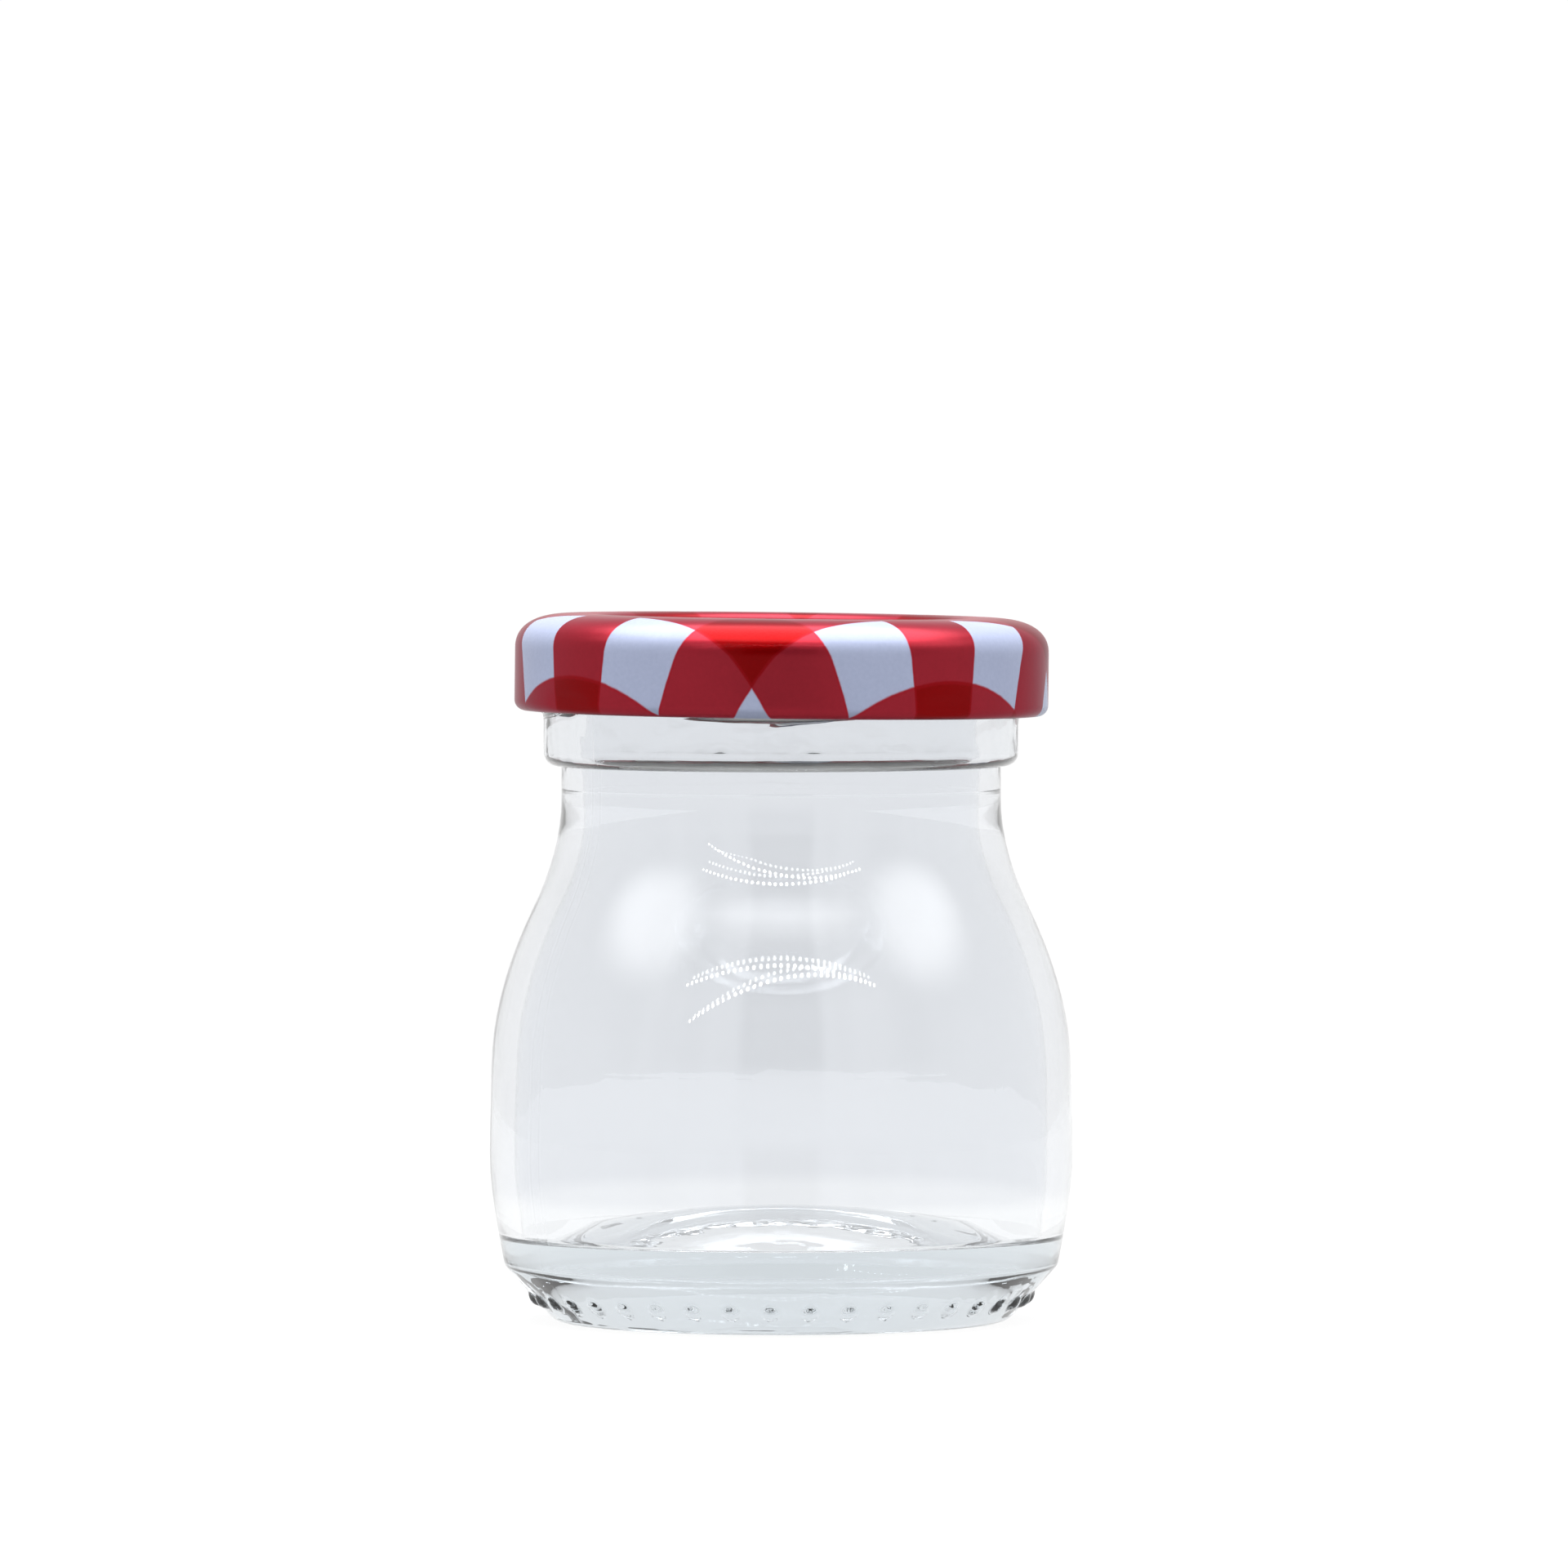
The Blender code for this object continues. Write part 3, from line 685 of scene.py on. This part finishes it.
def keep_evaluated(thing):
    """Makes the object's evaluated mesh its own and takes its modifiers away."""
    bpy.context.view_layer.update()
    evaluated = thing.evaluated_get(bpy.context.evaluated_depsgraph_get())
    mesh = bpy.data.meshes.new_from_object(evaluated)
    old = thing.data
    thing.modifiers.clear()
    thing.data = mesh
    bpy.data.meshes.remove(old)
    mesh.name = thing.name


def turned(name, outline, columns, closed=False):
    """An object with the mesh that a Screw modifier makes by turning an outline about +Z."""
    points = without_repeats(outline)
    edges = [(index, index + 1) for index in range(len(points) - 1)]
    if closed:
        edges.append((len(points) - 1, 0))
    mesh = bpy.data.meshes.new(name)
    mesh.from_pydata([(radius, 0.0, z) for radius, z in points], edges, [])
    thing = bpy.data.objects.new(name, mesh)
    bpy.context.scene.collection.objects.link(thing)
    screw = thing.modifiers.new("Turn", "SCREW")
    screw.axis = "Z"
    screw.steps = columns
    screw.render_steps = columns
    screw.use_merge_vertices = True
    screw.merge_threshold = 0.001 * MM
    keep_evaluated(thing)
    return thing


def new_tree(name, inputs):
    """A Geometry Nodes tree with its geometry sockets and the named inputs."""
    tree = bpy.data.node_groups.new(name, "GeometryNodeTree")
    tree.interface.new_socket("Geometry", in_out="OUTPUT", socket_type="NodeSocketGeometry")
    tree.interface.new_socket("Geometry", in_out="INPUT", socket_type="NodeSocketGeometry")
    for label, kind in inputs.items():
        tree.interface.new_socket(label, in_out="INPUT", socket_type="NodeSocket" + kind)
    graph = Graph(tree)
    source = graph.add("NodeGroupInput")
    return graph, {wire.socket.name: wire for wire in graph.outputs(source) if wire.socket.name}


def finish_tree(graph, geometry, material):
    """Ends a tree with real geometry that has its material."""
    realized = graph.add("GeometryNodeRealizeInstances", {0: geometry})
    painted = graph.add("GeometryNodeSetMaterial", {"Geometry": realized, "Material": material})
    output = graph.tree.nodes.new("NodeGroupOutput")
    graph.tree.links.new(painted.socket, output.inputs[0])
    return graph.tree


def apply_tree(thing, tree, values):
    """Runs a tree on an object with its inputs set by name, and keeps the result."""
    modifier = thing.modifiers.new(tree.name, "NODES")
    modifier.node_group = tree
    for item in tree.interface.items_tree:
        if item.in_out == "INPUT" and item.name in values:
            modifier[item.identifier] = values[item.name]
    keep_evaluated(thing)


def dots_tree():
    """Raises a row of oval dots on the chamfer."""
    kinds = {"Count": "Int", "Phase": "Float", "Height": "Float", "Length": "Float"}
    more = {"Width": "Float", "Relief": "Float", "Least Radius": "Float", "Material": "Material"}
    graph, wires = new_tree("Foot dots", {**kinds, **more})
    x, y, z = graph.split(graph.add("GeometryNodeInputPosition"))
    radius = (x * x + y * y).math("SQRT")
    turn = (graph.turn(x, y) - wires["Phase"]).wrap(math.pi / wires["Count"])
    along = turn * radius / (wires["Length"] * 0.5)
    across = (z - wires["Height"]) / (wires["Width"] * 0.5)
    swell = (1.0 - (along * along + across * across)).math("MAXIMUM", 0.0)
    outer = radius.math("GREATER_THAN", wires["Least Radius"])
    height = swell * outer * wires["Relief"]
    offset = graph.vector("SCALE", graph.add("GeometryNodeInputNormal"), height)
    raised = graph.add("GeometryNodeSetPosition", {"Geometry": wires["Geometry"], "Offset": offset})
    return finish_tree(graph, raised, wires["Material"])


def leads_tree():
    """Raises slanted thread leads on the finish."""
    kinds = {"Count": "Int", "Phase": "Float", "Span": "Float", "Low": "Float", "High": "Float"}
    more = {"Width": "Float", "Relief": "Float", "Fade Height": "Float", "Faded": "Float"}
    last = {"Least Radius": "Float", "Material": "Material"}
    graph, wires = new_tree("Thread leads", {**kinds, **more, **last})
    x, y, z = graph.split(graph.add("GeometryNodeInputPosition"))
    radius = (x * x + y * y).math("SQRT")
    whole = math.tau / wires["Count"]
    share = (graph.turn(x, y) - wires["Phase"]).math("WRAP", whole, 0.0) / wires["Span"]
    middle = wires["Low"] + (wires["High"] - wires["Low"]) * share
    across = (z - middle) / (wires["Width"] * 0.5)
    section = (1.0 - across * across).math("MAXIMUM", 0.0) ** LEAD_POWER
    taper = graph.smooth(share, 0.0, LEAD_TAPER) * graph.smooth(1.0 - share, 0.0, LEAD_TAPER)
    outer = radius.math("GREATER_THAN", wires["Least Radius"])
    full = graph.smooth(z, wires["Fade Height"] - LEAD_FADE, wires["Fade Height"] + LEAD_FADE)
    relief = wires["Relief"] * (wires["Faded"] + (1.0 - wires["Faded"]) * full)
    growth = section * taper * outer * relief / radius.math("MAXIMUM", 1.0 * MM)
    outward = graph.add("ShaderNodeCombineXYZ", {0: x * growth, 1: y * growth})
    raised = graph.add("GeometryNodeSetPosition", {"Geometry": wires["Geometry"], "Offset": outward})
    return finish_tree(graph, raised, wires["Material"])


def lugs_tree():
    """Adds rounded lugs round the curl."""
    kinds = {"Count": "Int", "Phase": "Float", "Size": "Vector", "Radius": "Float"}
    graph, wires = new_tree("Lugs", {**kinds, "Height": "Float", "Material": "Material"})
    block = graph.add("GeometryNodeMeshCube", {"Size": wires["Size"], 1: 4, 2: 3, 3: 3})
    block = graph.add("GeometryNodeSubdivisionSurface", {"Mesh": block, "Level": 2})
    seats = graph.add("GeometryNodePoints", {"Count": wires["Count"]})
    turn = graph.add("GeometryNodeInputIndex") * (math.tau / wires["Count"]) + wires["Phase"]
    spot = {0: turn.math("SINE") * wires["Radius"], 1: turn.math("COSINE") * wires["Radius"] * -1.0}
    place = graph.add("ShaderNodeCombineXYZ", {**spot, 2: wires["Height"]})
    seats = graph.add("GeometryNodeSetPosition", {"Geometry": seats, "Position": place})
    facing = graph.add("ShaderNodeCombineXYZ", {2: turn})
    inputs = {"Points": seats, "Instance": block, "Rotation": facing}
    lugs = graph.add("GeometryNodeInstanceOnPoints", inputs)
    both = graph.add("GeometryNodeJoinGeometry", {0: lugs})
    graph.tree.links.new(wires["Geometry"].socket, both.socket.node.inputs[0])
    return finish_tree(graph, both, wires["Material"])


def mark_print(mesh, s, p):
    """Stores each point's place on the flat printed sheet, and whether it is on the printed side."""
    flat = s.radius - s.shoulder_width
    drops = [0.0]
    lengths = [flat]
    shoulder = [point for point in without_repeats(lid_outside(s)) if point[0] >= flat]
    for before, after in zip(shoulder, shoulder[1:]):
        on_skirt = after[1] < s.height - s.shoulder_drop
        step = (Vector(after) - Vector(before)).length * (p.draw if on_skirt else p.spread)
        drops.append(s.height - after[1])
        lengths.append(lengths[-1] + step)
    sheet = mesh.attributes.new("print_sheet", "FLOAT_VECTOR", "POINT")
    for vertex in mesh.vertices:
        x, y, z = vertex.co
        radius = math.hypot(x, y)
        where = radius
        if radius > flat:
            index = min(max(bisect.bisect_left(drops, s.height - z), 1), len(drops) - 1)
            span = drops[index] - drops[index - 1]
            share = (s.height - z - drops[index - 1]) / span
            where = lengths[index - 1] + share * (lengths[index] - lengths[index - 1])
        outside = vertex.normal.z > PRINT_FACING or radius > s.radius - s.sheet / 2 or z < s.curl_radius
        stretch = where / radius if radius > 0.0 else 1.0
        sheet.data[vertex.index].vector = (x * stretch, y * stretch, 1.0 if outside else 0.0)


def shade_piece(mesh, sharp_degrees):
    """Smooth shading with sharp edges past an angle."""
    mesh.shade_smooth()
    mesh.set_sharp_from_angle(angle=math.radians(sharp_degrees))


def hand_over(piece, node):
    """Ties a piece to the root body and hides the CAD part of the node that it stands for."""
    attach(piece, "root")
    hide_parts(node)


# Operators


class OBJECT_OT_jar_glass(bpy.types.Operator):
    """Makes the glass jar with its thread leads and foot dots."""

    bl_idname = "object.jar_glass"
    bl_label = "Glass Jar"

    def execute(self, context):
        s = context.scene.jar_glass
        relief = context.scene.jar_relief
        outline = glass_inside(s) + glass_finish(s) + glass_body(s) + glass_base(s, relief)
        jar = turned("clear_jar", outline, s.columns)
        common = {"Least Radius": s.contact_outer, "Material": clear_glass(s, relief)}
        dots = {
            "Count": relief.dot_count,
            "Phase": relief.dot_phase,
            "Height": relief.dot_z,
            "Length": relief.dot_length,
            "Width": relief.dot_width,
            "Relief": relief.dot_relief,
        }
        apply_tree(jar, dots_tree(), {**common, **dots})
        leads = {
            "Count": relief.lead_count,
            "Phase": relief.lead_phase,
            "Span": relief.lead_span,
            "Low": relief.lead_low_z,
            "High": relief.lead_high_z,
            "Width": relief.lead_width,
            "Relief": relief.lead_relief,
            "Fade Height": relief.lead_fade_z,
            "Faded": relief.lead_faded,
        }
        apply_tree(jar, leads_tree(), {**common, **leads})
        shade_piece(jar.data, 60)
        hand_over(jar, "glass_jar")
        return {"FINISHED"}


class OBJECT_OT_jar_lid(bpy.types.Operator):
    """Makes the printed steel lid with its lugs, and its sealing ring."""

    bl_idname = "object.jar_lid"
    bl_label = "Lid and Sealing Ring"

    def execute(self, context):
        s = context.scene.jar_lid
        seat = Matrix.Translation((0.0, 0.0, s.bottom_z)) @ Matrix.Rotation(s.tilt, 4, "Y")
        lid = turned("gingham_lid", lid_outside(s) + lid_inside(s), s.columns)
        mark_print(lid.data, s, context.scene.jar_print)
        lugs = {
            "Count": s.lug_count,
            "Phase": s.lug_phase,
            "Size": (s.lug_length, s.lug_root - s.lug_reach, s.lug_height),
            "Radius": (s.lug_root + s.lug_reach) / 2,
            "Height": s.lug_z,
            "Material": printed_steel(context.scene.jar_print),
        }
        dents = {
            "Count": s.lug_count,
            "Phase": s.lug_phase,
            "Height": s.dent_z,
            "Length": s.lug_length,
            "Width": s.dent_width,
            "Relief": -s.dent_depth,
            "Least Radius": s.radius - s.sheet / 2,
            "Material": lugs["Material"],
        }
        apply_tree(lid, dots_tree(), dents)
        apply_tree(lid, lugs_tree(), lugs)
        lid.data.transform(seat)
        shade_piece(lid.data, 50)
        hand_over(lid, "lid")
        ring = turned("sealing_band", seal_section(s)[:-1], s.columns, closed=True)
        ring.data.materials.append(sealing_compound())
        ring.data.transform(seat)
        shade_piece(ring.data, 40)
        hand_over(ring, "sealing_ring")
        return {"FINISHED"}


class OBJECT_OT_jar_studio(bpy.types.Operator):
    """Makes the floor, the light from all sides and the camera."""

    bl_idname = "object.jar_studio"
    bl_label = "Studio"

    def execute(self, context):
        s = context.scene.jar_studio
        self.make_floor(context, s)
        self.make_world(context, s)
        self.add_camera(context, s)
        context.scene.view_settings.view_transform = "Standard"
        return {"FINISHED"}

    def make_floor(self, context, s):
        """A round sheet of paper under the jar."""
        mesh = bpy.data.meshes.new("paper_floor")
        corners = 64
        rim = []
        for index in range(corners):
            turn = math.tau * index / corners
            rim.append((s.floor_radius * math.cos(turn), s.floor_radius * math.sin(turn), 0.0))
        mesh.from_pydata(rim, [], [tuple(range(corners))])
        mesh.materials.append(white_paper())
        floor = bpy.data.objects.new("paper_floor", mesh)
        context.scene.collection.objects.link(floor)

    def make_world(self, context, s):
        """The light by direction: a pale room, two softboxes and two rows of small lamps."""
        world = bpy.data.worlds.new("studio")
        context.scene.world = world
        world.use_nodes = True
        world.node_tree.nodes.clear()
        graph = Graph(world.node_tree)
        across, back, height = graph.split(graph.add("ShaderNodeTexCoord"))
        turn = graph.turn(across, back)
        around = s.horizon + (s.upper - s.horizon) * graph.smooth(height, *UPPER_HEIGHT)
        bands = graph.noise(graph.add("ShaderNodeCombineXYZ", {0: turn}), BAND_SCALE)
        bands = bands * BAND_CONTRAST + BAND_LEAST
        lit = graph.smooth(abs(turn), s.dark_width - SOFT_EDGE, s.dark_width + SOFT_EDGE)
        lit = lit * (1.0 - DARK_LIGHT) + DARK_LIGHT
        front = graph.smooth(0.0 - back, *FRONT_FACING) * graph.smooth(height, *FRONT_HEIGHT)
        strength = around + (bands * lit * s.front - around) * front
        strength = strength + graph.smooth(height, *OVERHEAD_HEIGHT) * s.overhead
        reach = across / (back * back + height * height).math("SQRT")
        rise = height.math("ARCTAN2", 0.0 - back)
        along = reach.wrap(s.lamp_pitch / 2) / s.lamp_size
        fall = 1.0 - reach / s.lamp_row
        second = abs(rise - s.lamp_rise + fall * fall * s.lamp_gap)
        beside = abs(rise - s.lamp_rise).math("MINIMUM", second) / s.lamp_size
        spot = (along * along + beside * beside).math("SQRT")
        in_row = 1.0 - graph.smooth(abs(reach), s.lamp_row - SOFT_EDGE, s.lamp_row)
        strength = strength + (1.0 - graph.smooth(spot, *LAMP_FALL)) * in_row * s.lamps
        lift = height.math("ARCSINE")
        for side, raised in ((s.left_turn, s.left_rise), (s.right_turn, s.right_rise)):
            wide = (turn - side) / s.softbox_width
            tall = (lift - raised) / s.softbox_height
            off = (wide * wide + tall * tall).math("SQRT")
            strength = strength + (1.0 - graph.smooth(off, *SOFTBOX_FALL)) * s.softbox
        inputs = {"Color": (1.0, 1.0, 1.0, 1.0), "Strength": strength}
        sky = graph.add("ShaderNodeBackground", inputs)
        output = graph.tree.nodes.new("ShaderNodeOutputWorld")
        graph.tree.links.new(sky.socket, output.inputs["Surface"])

    def add_camera(self, context, s):
        """A long lens a little above the jar."""
        lens = bpy.data.cameras.new("camera")
        lens.sensor_width = 36.0
        lens.lens = lens.sensor_width * s.distance / s.view_width
        camera = bpy.data.objects.new("camera", lens)
        context.scene.collection.objects.link(camera)
        camera.location = (s.target_x, -s.distance, s.camera_z)
        aim = Vector((s.target_x, 0.0, s.target_z)) - camera.location
        camera.rotation_euler = aim.to_track_quat("-Z", "Y").to_euler()
        context.scene.camera = camera


class VIEW3D_PT_jar(bpy.types.Panel):
    """Lists the jar's operators and settings."""

    bl_label = "Glass Jar"
    bl_space_type = "VIEW_3D"
    bl_region_type = "UI"
    bl_category = "Jar"

    def draw(self, context):
        for operator in OPERATORS:
            self.layout.operator(operator.bl_idname)
        for name, group in SETTINGS.items():
            box = self.layout.box()
            box.label(text=group.__doc__)
            for prop in group.__annotations__:
                box.prop(getattr(context.scene, name), prop)


OPERATORS = (OBJECT_OT_jar_glass, OBJECT_OT_jar_lid, OBJECT_OT_jar_studio)
CLASSES = (*SETTINGS.values(), *OPERATORS, VIEW3D_PT_jar)


def register():
    for item in CLASSES:
        bpy.utils.register_class(item)
    for name, group in SETTINGS.items():
        setattr(bpy.types.Scene, name, bpy.props.PointerProperty(type=group))


def unregister():
    for name in SETTINGS:
        delattr(bpy.types.Scene, name)
    for item in reversed(CLASSES):
        bpy.utils.unregister_class(item)


def main():
    register()
    bpy.ops.object.jar_glass()
    bpy.ops.object.jar_lid()
    bpy.ops.object.jar_studio()


if __name__ == "__main__":
    main()
